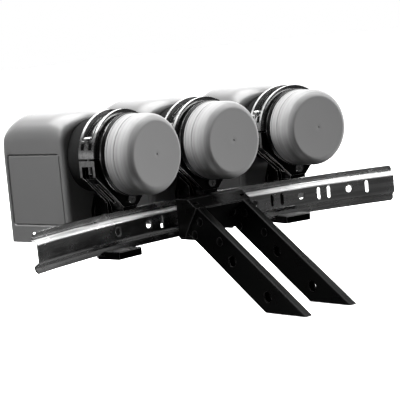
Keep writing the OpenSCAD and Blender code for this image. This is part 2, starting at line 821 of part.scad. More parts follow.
// the hood's outer form, or its inside when inset is the wall
module hood_form(inset, drop) {
    w = hood_w / 2 - inset;
    crown = hood_crown - inset;
    y0 = hood_y + inset;
    y1 = hood_end - inset;
    reach = hood_front_reach - inset;
    fall = hood_front_fall - inset;
    rear_r = hood_rear_r - inset;
    edge_r = max(hood_side_r - inset, 0.5);
    intersection() {
        plate_xz(y0, y1) polygon(arch(w, crown, hood_crown - shoulder_drop, drop));
        plate_yz(-w - 1, w + 1) polygon(concat(
            [[y1, -drop]], arc([y1 - rear_r, crown - rear_r], rear_r, 0, 90, 8),
            [for (a = [90:10:180]) [y0 + reach * (1 + cos(a)), crown - fall * (1 - sin(a))]],
            [[y0, -drop]]));
        translate([0, 0, -drop]) linear_extrude(drop + crown + 1) polygon(concat(
            arc([w - edge_r, y1 - edge_r], edge_r, 0, 90, 4),
            arc([edge_r - w, y1 - edge_r], edge_r, 90, 180, 4),
            arc([edge_r - w, y0 + edge_r], edge_r, 180, 270, 4),
            arc([w - edge_r, y0 + edge_r], edge_r, 270, 360, 4)));
    }
}

module hood(k) {
    color(grey) at_feed(k) difference() {
        hood_form(0, hood_drop);
        hood_form(hood_wall, hood_drop + 1);
        translate([0, hood_y - 1, 0]) along_y()
            cylinder(h = hood_wall + 2, r = neck_r + rail_fit);
        // shallow blank panel on each side
        for (s = [-1, 1]) mirror([s < 0 ? 1 : 0, 0, 0])
            translate([hood_w / 2 - panel_depth, hood_y + panel_front, panel_low - hood_drop])
                cube([2 * panel_depth, hood_depth - panel_front - panel_rear,
                      hood_drop - panel_low + panel_top]);
    }
}

feed_arm(-1);  // feed_arm_left
feed_arm(1);  // feed_arm_right
arm_head();
arm_rivets();
rail();
rail_spacers();
rail_bolts();
rail_nuts();
clamp_base(-1);  // clamp_base_left
clamp_base(0);  // clamp_base_middle
clamp_base(1);  // clamp_base_right
clamp_bow(-1);  // clamp_bow_left
clamp_bow(0);  // clamp_bow_middle
clamp_bow(1);  // clamp_bow_right
ring_screws(-1);  // ring_screws_left
ring_screws(0);  // ring_screws_middle
ring_screws(1);  // ring_screws_right
rail_jaw(-1);  // rail_jaw_left
rail_jaw(0);  // rail_jaw_middle
rail_jaw(1);  // rail_jaw_right
jaw_screw(-1);  // jaw_screw_left
jaw_screw(0);  // jaw_screw_middle
jaw_screw(1);  // jaw_screw_right
feed_cap(-1);  // feed_cap_left
feed_cap(0);  // feed_cap_middle
feed_cap(1);  // feed_cap_right
feed_horn(-1);  // feed_horn_left
feed_horn(0);  // feed_horn_middle
feed_horn(1);  // feed_horn_right
feed_collar(-1);  // feed_collar_left
feed_collar(0);  // feed_collar_middle
feed_collar(1);  // feed_collar_right
converter_body(-1);  // converter_body_left
converter_body(0);  // converter_body_middle
converter_body(1);  // converter_body_right
converter_board(-1);  // converter_board_left
converter_board(0);  // converter_board_middle
converter_board(1);  // converter_board_right
port_plate(-1);  // port_plate_left
port_plate(0);  // port_plate_middle
port_plate(1);  // port_plate_right
ports(-1);  // ports_left
ports(0);  // ports_middle
ports(1);  // ports_right
hood(-1);  // hood_left
hood(0);  // hood_middle
hood(1);  // hood_right
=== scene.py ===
"""Looks of the three-feed rail holder. Millimetres inside the helpers, metres in the meshes."""

import json
import math

import bmesh
import bpy
import numpy as np
from mathutils import Matrix, Vector


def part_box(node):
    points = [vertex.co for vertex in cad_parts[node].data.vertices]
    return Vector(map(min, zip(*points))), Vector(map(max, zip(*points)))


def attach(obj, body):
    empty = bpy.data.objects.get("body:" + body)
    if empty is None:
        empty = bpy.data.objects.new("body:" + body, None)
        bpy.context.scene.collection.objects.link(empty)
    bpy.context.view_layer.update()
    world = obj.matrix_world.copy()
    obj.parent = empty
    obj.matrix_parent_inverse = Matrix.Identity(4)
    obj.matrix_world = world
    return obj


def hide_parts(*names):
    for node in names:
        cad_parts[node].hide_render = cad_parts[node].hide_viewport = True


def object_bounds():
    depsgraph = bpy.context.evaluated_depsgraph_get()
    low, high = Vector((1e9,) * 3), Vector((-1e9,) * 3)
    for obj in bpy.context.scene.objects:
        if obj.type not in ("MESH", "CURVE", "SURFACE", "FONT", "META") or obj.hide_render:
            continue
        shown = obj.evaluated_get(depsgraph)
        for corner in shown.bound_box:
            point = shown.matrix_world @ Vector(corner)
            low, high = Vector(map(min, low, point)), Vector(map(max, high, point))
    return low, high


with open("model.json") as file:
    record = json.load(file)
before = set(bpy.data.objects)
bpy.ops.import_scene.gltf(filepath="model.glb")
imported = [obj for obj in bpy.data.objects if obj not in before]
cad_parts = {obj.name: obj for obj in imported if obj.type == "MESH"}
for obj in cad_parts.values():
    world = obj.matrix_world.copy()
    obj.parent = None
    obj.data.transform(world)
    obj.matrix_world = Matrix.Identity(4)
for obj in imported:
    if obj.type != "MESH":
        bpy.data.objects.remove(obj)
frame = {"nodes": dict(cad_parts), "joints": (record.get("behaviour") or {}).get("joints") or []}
cad_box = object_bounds()

MM = 0.001
SIDES = ("left", "middle", "right")


# ---------- places taken from the frame ----------

joint_of = {j["name"]: j for j in frame["joints"]}
rail_pole = np.array(joint_of["slide_along_rail_middle"]["pos_m"], float)
# from a feed's joint to its cap's face, counted back and so below zero; taken from the middle feed, whose
# way back is the frame's own Y
cap_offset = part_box("feed_cap_middle")[0][1] - joint_of["skew_middle"]["pos_m"][1]


def station(side):
    """Corner and directions of one feed: the centre of its cap's face, then right, back and up."""
    skew = joint_of["skew_" + side]
    back = np.array(skew["axis"], float)
    right = np.array([back[1], -back[0], 0.0])
    return np.array(skew["pos_m"], float) + back * cap_offset, right, back, np.array([0.0, 0.0, 1.0])


stations = {side: station(side) for side in SIDES}


def box_at_middle(node):
    """A middle node's box as right, back and up from its cap's face, in millimetres."""
    low, high = (np.array(c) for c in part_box(node))
    corner = stations["middle"][0]
    return (low - corner) / MM, (high - corner) / MM


# ---------- mesh helpers: every new piece is a grid of points worked out as arrays ----------

TURN_STEPS = 160        # points round a turned piece
SEAM_WELD = 2e-6        # metres, joins the loose triangles of a CAD node
GRID_WELD = 2e-5        # metres, joins the grids of a hood or of the rail
FLAT_WITHIN = 0.6       # degrees, triangles of one face
ROUNDED_FROM = 30       # degrees, the least turn of an edge that is rounded
UNCLAMPED = ("arm_head", "ring_screws")     # their slivers would clamp the whole rounding to nothing


def grid_faces(rows, columns, first, wrap):
    """Quads between neighbouring rows and columns of a grid whose first point has the number first. Wrapped,
    each row's last point is joined to its first."""
    row = np.arange(rows - 1)[:, None]
    column = np.arange(columns if wrap else columns - 1)[None, :]
    following = (column + 1) % columns
    corners = [row * columns + column, row * columns + following,
               (row + 1) * columns + following, (row + 1) * columns + column]
    return first + np.stack([c.ravel() for c in np.broadcast_arrays(*corners)], axis=1)


def shaded(name, mesh, sharp):
    """An object of a mesh with smooth shading, crisp at edges that turn by more than an angle in degrees."""
    mesh.polygons.foreach_set("use_smooth", np.ones(len(mesh.polygons), bool))
    mesh.set_sharp_from_angle(angle=math.radians(sharp))
    piece = bpy.data.objects.new(name, mesh)
    bpy.context.scene.collection.objects.link(piece)
    return piece


def surface(name, grids, sharp, weld=1e-6):
    """One mesh of several grids of points in millimetres, welded where they meet within a distance in metres.
    Open edges are crisp, and those that turn by more than an angle in degrees. A grid may be (points, wrap)."""
    points, faces, first = [], [], 0
    for grid in grids:
        cloud, wrap = grid if isinstance(grid, tuple) else (grid, False)
        rows, columns = cloud.shape[:2]
        points.append(cloud.reshape(-1, 3))
        faces.append(grid_faces(rows, columns, first, wrap))
        first += rows * columns
    mesh = bpy.data.meshes.new(name)
    mesh.from_pydata((np.concatenate(points) * MM).tolist(), [], np.concatenate(faces).tolist())
    tidy = bmesh.new()
    tidy.from_mesh(mesh)
    bmesh.ops.remove_doubles(tidy, verts=tidy.verts, dist=weld)
    bmesh.ops.dissolve_degenerate(tidy, edges=tidy.edges, dist=weld)
    bmesh.ops.recalc_face_normals(tidy, faces=tidy.faces)
    tidy.to_mesh(mesh)
    tidy.free()
    piece = shaded(name, mesh, sharp)
    edges, creased = np.zeros(len(mesh.loops), np.int32), np.zeros(len(mesh.edges), bool)
    mesh.loops.foreach_get("edge_index", edges)
    mesh.edges.foreach_get("use_edge_sharp", creased)
    open_edge = np.bincount(edges, minlength=len(creased)) == 1
    mesh.edges.foreach_set("use_edge_sharp", creased | open_edge)
    return piece


def outward_from(piece, centre):
    """Turns an open sheet's faces so that most of them look away from a point on its inner side."""
    mesh = piece.data
    centres, normals = (np.zeros(len(mesh.polygons) * 3) for _ in range(2))
    areas = np.zeros(len(mesh.polygons))
    mesh.polygons.foreach_get("center", centres)
    mesh.polygons.foreach_get("normal", normals)
    mesh.polygons.foreach_get("area", areas)
    away = (centres.reshape(-1, 3) - centre) * normals.reshape(-1, 3)
    if (away.sum(axis=1) * areas).sum() < 0:
        mesh.flip_normals()


def placed(points, side):
    """Points given as right, back and up from a feed's cap face, carried to that feed's station, all in
    millimetres."""
    corner, right, back, up = stations[side]
    return corner / MM + points[..., :1] * right + points[..., 1:2] * back + points[..., 2:] * up


def revolved(profile, side):
    """A profile of (back, radius) points turned once about the feed's axis: radius times the sine and cosine
    of the angle."""
    angle = np.linspace(0, 2 * np.pi, TURN_STEPS, endpoint=False)
    back, radius = np.asarray(profile, float).T[:, :, None]
    around = np.broadcast_arrays(radius * np.cos(angle), back, radius * np.sin(angle))
    return placed(np.stack(around, axis=-1), side), True


def rounding(piece, width, angle):
    """Bevel of two steps on edges that turn by more than an angle in degrees, its width in millimetres."""
    bevel = piece.modifiers.new("edge", "BEVEL")
    bevel.width = width * MM
    bevel.segments = 2
    bevel.limit_method = "ANGLE"
    bevel.angle_limit = math.radians(angle)
    return bevel


def softened(node, width, worn):
    """A copy of a CAD node with its seams merged and its edges rounded, in the worn finish if it has one."""
    mesh = frame["nodes"][node].data.copy()
    tidy = bmesh.new()
    tidy.from_mesh(mesh)
    bmesh.ops.remove_doubles(tidy, verts=tidy.verts, dist=SEAM_WELD)
    bmesh.ops.dissolve_limit(tidy, angle_limit=math.radians(FLAT_WITHIN), verts=tidy.verts, edges=tidy.edges)
    tidy.to_mesh(mesh)
    tidy.free()
    piece = shaded(node + "_dressed", mesh, ROUNDED_FROM)
    bevel = rounding(piece, width, ROUNDED_FROM)
    bevel.use_clamp_overlap = not node.startswith(UNCLAMPED)
    bevel.harden_normals = True
    if worn is not None:
        bevel.material = 1
    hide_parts(node)
    return piece


def finish_piece(piece, body, material, worn=None):
    """Gives a piece its material, the one of its worn edges and the body it rides on."""
    piece.data.materials.clear()
    piece.data.materials.append(material)
    if worn is not None:
        piece.data.materials.append(worn)
    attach(piece, body)
    return piece


def rub_faces(piece, side, chosen):
    """Gives the worn finish to the faces that a test picks from their centres and outward normals, both as
    right, back and up from a feed's cap face, centres in millimetres."""
    corner, right, back, up = stations[side]
    axes = np.stack([right, back, up], axis=1)
    centres, normals = (np.zeros(len(piece.data.polygons) * 3) for _ in range(2))
    piece.data.polygons.foreach_get("center", centres)
    piece.data.polygons.foreach_get("normal", normals)
    picked = chosen((centres.reshape(-1, 3) - corner) @ axes / MM, normals.reshape(-1, 3) @ axes)
    piece.data.polygons.foreach_set("material_index", picked.astype(np.int32))


# ---------- finishes: patterns on object coordinates, their scales in cycles per metre ----------

def add_node(owner, kind, values=None, links=None, **settings):
    """A shader node with its settings, the values of its sockets and the outputs linked to them."""
    made = owner.node_tree.nodes.new(kind)
    for setting, value in settings.items():
        setattr(made, setting, value)
    for socket, value in (values or {}).items():
        made.inputs[socket].default_value = value
    for socket, source in (links or {}).items():
        owner.node_tree.links.new(source, made.inputs[socket])
    return made


def position(material):
    """Object coordinates of the point that is shaded."""
    return add_node(material, "ShaderNodeTexCoord").outputs["Object"]


def mapped(owner, value, low, high, start=0.0, end=1.0):
    """A value carried from the range low to high onto start to end, and held at both ends."""
    ranges = {"From Min": low, "From Max": high, "To Min": start, "To Max": end}
    return add_node(owner, "ShaderNodeMapRange", ranges, {"Value": value}).outputs["Result"]


def ramped(owner, factor, stops):
    """Greys that a factor runs through, given as (position, grey) stops."""
    ramp = add_node(owner, "ShaderNodeValToRGB", links={"Fac": factor})
    elements = ramp.color_ramp.elements
    for place, _ in stops[1:-1]:
        elements.new(place)
    for element, (place, grey) in zip(elements, stops):
        element.position = place
        element.color = (grey, grey, grey, 1)
    return ramp.outputs["Color"]


def drive(material, socket, source):
    """Links an output to a socket of the material's shader."""
    tree = material.node_tree
    tree.links.new(source, tree.nodes["Principled BSDF"].inputs[socket])


def new_material(name, grey, roughness, metallic=0.0, specular=0.5, glow=0.0):
    """A plain shader whose even values sit on its own sockets; the pattern functions below add the rest."""
    material = bpy.data.materials.new(name)
    material.use_nodes = True
    shader = material.node_tree.nodes["Principled BSDF"]
    shader.inputs["Base Color"].default_value = (grey, grey, grey, 1)
    shader.inputs["Metallic"].default_value = metallic
    shader.inputs["Roughness"].default_value = roughness
    shader.inputs["Specular IOR Level"].default_value = specular
    shader.inputs["Emission Color"].default_value = (grey, grey, grey, 1)
    shader.inputs["Emission Strength"].default_value = glow
    return material


def noise(material, scale, detail, roughness=0.55):
    """Fractal noise on object coordinates."""
    values = {"Scale": scale, "Detail": detail, "Roughness": roughness}
    return add_node(material, "ShaderNodeTexNoise", values, {"Vector": position(material)}).outputs["Fac"]


def rings(material, scale):
    """Noise that changes along a turned piece's axis alone, from its attribute "back"."""
    back = add_node(material, "ShaderNodeAttribute", attribute_name="back").outputs["Fac"]
    texture = add_node(material, "ShaderNodeTexNoise", {"Scale": scale}, {"W": back}, noise_dimensions="1D")
    return texture.outputs["Fac"]


def streaks(material, pole, scale, detail, along):
    """Fractal noise drawn out round a vertical axis: its coordinates are a fraction of the way to the right,
    the distance from that axis and the height."""
    place = position(material)
    centred = {"Location": (-pole[0], -pole[1], 0), "Scale": (1, 1, 0)}
    spoke = add_node(material, "ShaderNodeMapping", centred, {"Vector": place}).outputs["Vector"]
    reach = add_node(material, "ShaderNodeVectorMath", links={0: spoke}, operation="LENGTH").outputs["Value"]
    split = add_node(material, "ShaderNodeSeparateXYZ", links={"Vector": place}).outputs
    shrunk = add_node(material, "ShaderNodeMath", {1: along}, {0: split["X"]}, operation="MULTIPLY")
    parts = {"X": shrunk.outputs["Value"], "Y": reach, "Z": split["Z"]}
    joined = add_node(material, "ShaderNodeCombineXYZ", links=parts).outputs["Vector"]
    values = {"Scale": scale, "Detail": detail}
    return add_node(material, "ShaderNodeTexNoise", values, {"Vector": joined}).outputs["Fac"]


def vary_colour(material, factor, dark, light, low=0.3, high=0.7):
    """Base colour swings between two greys as the pattern goes from low to high."""
    drive(material, "Base Color", ramped(material, factor, ((low, dark), (high, light))))


def vary_roughness(material, factor, smooth, rough):
    """Roughness swings between two values as the pattern goes from 0.3 to 0.7."""
    drive(material, "Roughness", mapped(material, factor, 0.3, 0.7, smooth, rough))


def add_bump(material, factor, depth, strength):
    """Fine relief of that depth in millimetres from a pattern."""
    values = {"Distance": depth * MM, "Strength": strength}
    bump = add_node(material, "ShaderNodeBump", values, {"Height": factor})
    drive(material, "Normal", bump.outputs["Normal"])


def moulded_plastic(name, grey, roughness, specular=0.45, ringed=False):
    """Satin plastic: an eroded-mould grain of about 0.3 mm, the faintest cloudiness in sheen, and in colour
    either that or the rings of a turned mould, about 2 mm apart."""
    material = new_material(name, grey, roughness, specular=specular)
    pattern, swing = (rings(material, 450), 0.2) if ringed else (noise(material, 28, 3), 0.03)
    vary_colour(material, pattern, grey * (1 - swing), grey * (1 + swing))
    vary_roughness(material, noise(material, 60, 3), roughness - 0.015, roughness + 0.02)
    add_bump(material, noise(material, 3200, 1), 0.003, 0.2)
    return material


def polished_metal(name, grey, roughness):
    """Bright or plated metal: faint long waves, fine scuffs of about 2 mm in shade and sheen."""
    material = new_material(name, grey, roughness, metallic=1.0)
    vary_roughness(material, noise(material, 60, 4), roughness * 0.8, roughness * 1.5)
    vary_colour(material, noise(material, 420, 5, roughness=0.7), grey * 0.6, grey, 0.36, 0.58)
    add_bump(material, noise(material, 35, 2), 0.004, 0.5)
    return material


def rolled_metal(name, grey, roughness, pole):
    """Plated sheet bent about a vertical axis: rolling streaks along it about 1 mm apart in relief and 3 mm
    apart in shade, and smudges of some centimetres in sheen."""
    material = new_material(name, grey, roughness, metallic=1.0)
    vary_roughness(material, streaks(material, pole, 90, 4, 0.5), roughness * 0.7, roughness * 1.4)
    vary_colour(material, streaks(material, pole, 330, 4, 0.06), grey * 0.66, grey, 0.36, 0.6)
    add_bump(material, streaks(material, pole, 900, 3, 0.03), 0.012, 0.7)
    return material


def paint_bend_highlight(material, pole, heights):
    """Painted highlight along the sheet's upper bend: a matt pale band, broken by streaks, that stands in for
    the bright reflection of the lights there. It is less metallic between the middle two of four heights in
    millimetres above the pole, and fades out to the other two."""
    height = add_node(material, "ShaderNodeSeparateXYZ", links={"Vector": position(material)}).outputs["Z"]
    rubbed = mapped(material, streaks(material, pole, 700, 4, 0.04), 0.36, 0.6, 1.0, 0.6)
    for start, full in (heights[:2], heights[:1:-1]):
        edge = mapped(material, height, pole[2] + start * MM, pole[2] + full * MM)
        both = add_node(material, "ShaderNodeMath", links={0: rubbed, 1: edge}, operation="MULTIPLY")
        rubbed = both.outputs["Value"]
    rest = add_node(material, "ShaderNodeMath", {0: 1}, {1: rubbed}, operation="SUBTRACT")
    drive(material, "Metallic", rest.outputs["Value"])


def cast_metal(name, grey, roughness):
    """As-cast metal: grain of about 0.5 mm with soft blotches."""
    material = new_material(name, grey, roughness, metallic=1.0)
    vary_colour(material, noise(material, 120, 4), grey * 0.8, grey)
    add_bump(material, noise(material, 1400, 3), 0.02, 0.6)
    return material


def black_paint(name, grey, roughness, specular):
    """Black paint over steel: slight orange peel, with rubbed patches that shine less evenly."""
    material = new_material(name, grey, roughness, specular=specular)
    vary_roughness(material, noise(material, 50, 4), roughness * 0.8, roughness * 1.3)
    add_bump(material, noise(material, 420, 2), 0.01, 0.4)
    return material


# ---------- camera: its place in metres from the middle cap's face ----------

CAMERA_YAW, CAMERA_PITCH, CAMERA_ROLL = (math.radians(a) for a in (40.42, 6.54, -5.33))
CAMERA_LENS = 153.23
CAMERA_SENSOR = 36
CAMERA_AWAY, CAMERA_RIGHT, CAMERA_UP = 1.30817, -0.026099, -0.046103


def make_camera():
    """Camera at the front left, looking along the rail and slightly down."""
    forward = np.array([math.sin(CAMERA_YAW) * math.cos(CAMERA_PITCH),
                        math.cos(CAMERA_YAW) * math.cos(CAMERA_PITCH), -math.sin(CAMERA_PITCH)])
    level = np.array([math.cos(CAMERA_YAW), -math.sin(CAMERA_YAW), 0.0])
    upward = np.cross(level, forward)
    right = math.cos(CAMERA_ROLL) * level + math.sin(CAMERA_ROLL) * upward
    up = -math.sin(CAMERA_ROLL) * level + math.cos(CAMERA_ROLL) * upward
    place = stations["middle"][0] - forward * CAMERA_AWAY + right * CAMERA_RIGHT + up * CAMERA_UP
    data = bpy.data.cameras.new("camera")
    data.lens = CAMERA_LENS
    data.sensor_width = CAMERA_SENSOR
    camera = bpy.data.objects.new("camera", data)
    bpy.context.scene.collection.objects.link(camera)
    turn = np.eye(4)
    turn[:3, 0], turn[:3, 1], turn[:3, 2], turn[:3, 3] = right, up, -forward, place
    camera.matrix_world = Matrix(turn.tolist())
    bpy.context.scene.camera = camera


# ---------- caps and collars ----------

def cap_profile():
    """Half section of a cap from the gate mark in its face, over the crisp edge and the wide rounding, along
    the skirt with its groove and rim bead, and back inside its wall."""
    high = box_at_middle("feed_cap_middle")[1]
    bead, wall, round_r, lead = 0.35, 1.9, 8.4, math.radians(20)
    radius, depth = high[0] - bead, high[1]
    face_r = radius - round_r * (1 - math.sin(lead))
    gate_mark = [[0.55, 0.0], [0.55, 0.5], [0.05, 0.75], [0.02, 0.9]]
    face = [[0.05, 4.0], [0.06, face_r - 1.6], [0.0, face_r - 0.9], [0.0, face_r]]
    edge = [[round_r * (math.cos(lead) - math.cos(t)), radius - round_r * (1 - math.sin(t))]
            for t in np.linspace(lead, math.pi / 2, 17)[1:]]
    skirt_r, groove, groove_r = radius + 0.02, depth - 8.95, radius - 0.35
    skirt = [[groove - 0.3, skirt_r], [groove - 0.15, groove_r], [groove + 0.15, groove_r],
             [groove + 0.3, skirt_r], [depth - 2.0, skirt_r]]
    rim = [[depth - 1.7, radius + 0.33], [depth - 0.25, radius + 0.33], [depth, radius + 0.1]]
    inner_r = radius - wall
    inside = [[depth, inner_r], [9, inner_r], [5, inner_r - 1.4], [wall, radius - 8], [wall, 0.0]]
    return gate_mark + face + edge + skirt + rim + inside


def make_caps():
    """Revolved cap: radius times sine and cosine of the angle along the half section. Each point keeps its
    distance back from the cap's face for the finish."""
    profile = cap_profile()
    for side in SIDES:
        piece = surface("cap_" + side, [revolved(profile, side)], sharp=38)
        corner, _, back, _ = stations[side]
        points = np.zeros(len(piece.data.vertices) * 3)
        piece.data.vertices.foreach_get("co", points)
        distance = piece.data.attributes.new("back", "FLOAT", "POINT")
        distance.data.foreach_set("value", (points.reshape(-1, 3) - corner) @ back)
        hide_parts("feed_cap_" + side)
        finish_piece(piece, "feed_" + side, finishes["cap"])


def make_collars():
    """Revolved band with two rolled edges and a shallow waist, and behind that a bright bead."""
    low, high = box_at_middle("feed_collar_middle")
    radius, front, back = high[0], low[1], high[1]
    width, edge, bead = back - front, 0.9, 2.2
    bore_r, waist_r = radius - 3.4, radius - 0.3
    rounds = [[front + edge - edge * math.cos(t), radius - edge + edge * math.sin(t)]
              for t in np.radians(np.linspace(0, 90, 7))]
    waist = [[front + width * 0.36, waist_r], [front + width * 0.5, waist_r],
             [back - bead - 0.2, waist_r], [back - bead, radius]]
    profile = [[front, bore_r]] + rounds + waist + [[front + back - p[0], p[1]] for p in rounds[::-1]]
    profile += [[back, bore_r], [front, bore_r]]
    for side in SIDES:
        piece = surface("collar_" + side, [revolved(profile, side)], sharp=40)
        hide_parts("feed_collar_" + side)
        finish_piece(piece, "feed_" + side, finishes["collar"], finishes["steel"])
        rub_faces(piece, side, lambda place, facing: place[:, 1] > back - bead)


# ---------- hoods: right, back and up from the cap's face ----------

hood_low, hood_high = box_at_middle("hood_middle")
HOOD_HALF, HOOD_FOOT, HOOD_CROWN = hood_high[0], hood_low[2], hood_high[2]
HOOD_FRONT, HOOD_BACK = hood_low[1], hood_high[1]
HOOD_SHOULDER = HOOD_CROWN - 20.25
HOOD_WALL = 2.2
HORN_R = 27.65          # opening in the hood's front round the feed
# reach and amount of the roundings near both ends
CROWN_FRONT, CROWN_BACK, ARCH_BACK = (22, 6.2), (18, 18), (18, 6)
SIDE_FRONT, SIDE_BACK, SIDE_TOP_BACK = (3.4, 3.0), (4.5, 4.5), (6, 2)
SHOULDER_FRONT = (20, 2.8)
SIDE_TOP_BLEND = 9      # height below the shoulder over which the side's top is drawn in
# the panel sunk in both sides, its step and the groove inside it
PANEL_Y = (HOOD_FRONT + 5.2, HOOD_BACK - 5.6)
PANEL_Z = (HOOD_FOOT + 13, 4.5)
PANEL_CORNER, PANEL_SINK, PANEL_STEP = 2.5, 0.45, 0.5
GROOVE_INSIDE, GROOVE_HALF, GROOVE_DEEP = 0.75, 0.7, 0.7
FINE_STEP, COARSE_STEP, LEAST_STEP = 0.25, 5.0, 0.06     # between the rows and columns of the grid


def spread(stops):
    """Sorted places through the stops, closely spaced in the intervals marked fine."""
    places = []
    for (start, fine), (end, _) in zip(stops, stops[1:]):
        count = max(1, math.ceil((end - start) / (FINE_STEP if fine else COARSE_STEP)))
        places += list(np.linspace(start, end, count, endpoint=False))
    return np.array(places + [stops[-1][0]])


def hood_depths():
    """Depths of the hood's cross-sections: closing up toward both ends as a quarter circle's cosine does, and
    fine over the panel's edges."""
    closing_front, closing_back = (1 - np.cos(np.linspace(0, np.pi / 2, count)) for count in (25, 17))
    over_panel = spread([(PANEL_Y[0] - 1, True), (PANEL_Y[0] + 4, False), (PANEL_Y[1] - 4, True),
                         (PANEL_Y[1] + 1, False)])
    depths = np.concatenate([HOOD_FRONT + CROWN_FRONT[0] * closing_front, over_panel,
                             HOOD_BACK - CROWN_BACK[0] * closing_back])
    depths = np.unique(np.round(depths, 3))
    keep = np.concatenate([[True], np.diff(depths) > LEAST_STEP])
    keep[-1] = True
    return depths[keep]


def hood_heights():
    """Heights of the points of the hood's upright sides, fine over the panel's edges."""
    over_panel = spread([(HOOD_FOOT, False), (PANEL_Z[0] - 1, True), (PANEL_Z[0] + 4, False),
                         (PANEL_Z[1] - 4, True), (PANEL_Z[1] + 1, False), (HOOD_SHOULDER, False)])
    return np.unique(np.round(over_panel, 4))


def drawn_in(y, reach, amount, end):
    """How far a rounding of that reach draws the outline in at a depth y from its end: a quarter ellipse."""
    along = np.clip(1 - np.abs(y - end) / reach, 0, 1)
    return amount * (1 - np.sqrt(np.clip(1 - along ** 2, 0, 1)))


def panel_sink(y, heights):
    """How far the side lies back at a depth and some heights: a smooth step inside the panel's rounded
    outline, and a groove along it."""
    inside_y = np.minimum(y - PANEL_Y[0], PANEL_Y[1] - y)
    inside_z = np.minimum(heights - PANEL_Z[0], PANEL_Z[1] - heights)
    corner = np.hypot(np.maximum(PANEL_CORNER - inside_y, 0), np.maximum(PANEL_CORNER - inside_z, 0))
    inside = np.where((inside_y < PANEL_CORNER) & (inside_z < PANEL_CORNER), PANEL_CORNER - corner,
                      np.minimum(inside_y, inside_z))
    step = np.clip(inside / PANEL_STEP + 0.5, 0, 1)
    groove = np.clip(1 - np.abs(inside - GROOVE_INSIDE) / GROOVE_HALF, 0, 1)
    return PANEL_SINK * step * step * (3 - 2 * step) + GROOVE_DEEP * groove * groove * (3 - 2 * groove)


def hood_outline(y, heights):
    """Front view at one depth, from the right foot over the crown to the left foot: upright sides, and over
    them the cosine of the turn to the power 0.72 across and its sine to the power 0.8 up."""
    half = HOOD_HALF - drawn_in(y, *SIDE_FRONT, HOOD_FRONT) - drawn_in(y, *SIDE_BACK, HOOD_BACK)
    top = HOOD_CROWN - drawn_in(y, *CROWN_FRONT, HOOD_FRONT) - drawn_in(y, *CROWN_BACK, HOOD_BACK)
    rise = top - HOOD_SHOULDER + drawn_in(y, *ARCH_BACK, HOOD_BACK)
    squeeze = (top - rise - HOOD_FOOT) / (HOOD_SHOULDER - HOOD_FOOT)
    upright = np.stack([np.full(len(heights), half), HOOD_FOOT + (heights - HOOD_FOOT) * squeeze], axis=1)
    near_top = np.clip((heights - HOOD_SHOULDER) / SIDE_TOP_BLEND + 1, 0, 1) ** 2
    upright[:, 0] -= near_top * drawn_in(y, *SIDE_TOP_BACK, HOOD_BACK)
    upright[:, 0] -= panel_sink(y, upright[:, 1])
    turn = np.radians(np.linspace(0, 90, 31))[1:]
    over = np.stack([upright[-1, 0] * np.cos(turn) ** 0.72, top - rise + rise * np.sin(turn) ** 0.8], axis=1)
    over -= (np.sin(2 * turn) * drawn_in(y, *SHOULDER_FRONT, HOOD_FRONT))[:, None]
    over[-1, 0] = 0
    right = np.concatenate([upright, over])
    return np.concatenate([right, right[-2::-1] * [-1, 1]])


def at_depth(row, y):
    """An outline's points with their depth."""
    return np.stack([row[:, 0], np.full(len(row), y), row[:, 1]], axis=1)


def closed_below(row, y):
    """An outline closed along the hood's foot, with its depth."""
    foot = np.linspace(row[-1], row[0], 25)[1:-1]
    return at_depth(np.concatenate([row, foot]), y)


def make_hoods():
    """Hood as a level set: at each depth its front view is the same arch with the half width and crown drawn
    in by quarter ellipses near both ends. Straight lines join its front rim to the feed's opening, and its
    rear rim to the middle of the rear wall."""
    depths, heights = hood_depths(), hood_heights()
    rows = [hood_outline(y, heights) for y in depths]
    skin = np.stack([at_depth(row, y) for row, y in zip(rows, depths)])
    rim, rear = closed_below(rows[0], depths[0]), closed_below(rows[-1], depths[-1])
    opening = rim.copy()
    opening[:, [0, 2]] *= (HORN_R / np.hypot(rim[:, 0], rim[:, 2]))[:, None]
    share = np.linspace(0, 1, 6)[:, None, None]
    face = rim * (1 - share) + opening * share
    hub = np.array([0.0, depths[-1], (rear[:, 2].min() + rear[:, 2].max()) / 2])
    wall = hub + (rear - hub) * np.linspace(1, 0, 9)[:, None, None]
    inmost = np.array([0.0, (HOOD_FRONT + HOOD_BACK) / 2, 0.0])
    for side in SIDES:
        grids = [placed(skin, side), (placed(face, side), True), (placed(wall, side), True)]
        piece = surface("hood_" + side + "_shell", grids, sharp=45, weld=GRID_WELD)
        outward_from(piece, placed(inmost, side) * MM)
        shell = piece.modifiers.new("wall", "SOLIDIFY")
        shell.thickness = HOOD_WALL * MM
        shell.offset = -1
        shell.use_even_offset = False
        shell.use_rim = True
        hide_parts("hood_" + side)
        finish_piece(piece, "feed_" + side, finishes["hood"])


# ---------- rail: angles in degrees round its pole, depths back from the front of its web ----------

rail_low, rail_high = (np.array(c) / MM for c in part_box("rail"))
rail_centre = rail_pole / MM
SHEET = 1.5
SHEET_SEEN = 1.44       # a little thinner, so that it stays clear of what lies against it
RAIL_DEEP = 5.8
RAIL_CRISP, RAIL_ROUNDED = 50, 0.18     # its edges that turn by more degrees are crisp, and rounded so wide
RAIL_R = (rail_high[1] - rail_centre[1]) - RAIL_DEEP
RAIL_ENDS = [math.degrees(math.asin((x - rail_centre[0]) / (RAIL_R + RAIL_DEEP)))
             for x in (rail_low[0], rail_high[0])]
PER_DEGREE = RAIL_R * math.pi / 180
WEB_FLAT = 6.0          # half height of the strip that holds the openings
TIP_STRETCH, LIP_CORNER = 4.5, 4
HIGHLIGHT_BAND_HEIGHTS = (5.8, 6.8, 9.4, 10.2)      # painted highlight band on the upper bend: start, full, full, end
COLUMN_STEP = 0.5       # degrees between cross-sections
PATCH_COLUMNS = 8       # steps across the patch of web round an opening
PATCH_MARGIN = 1.15     # millimetres between an opening and its patch's sides
SLOT_REACH = 0.56       # degrees, the most that half the patch round a slot takes
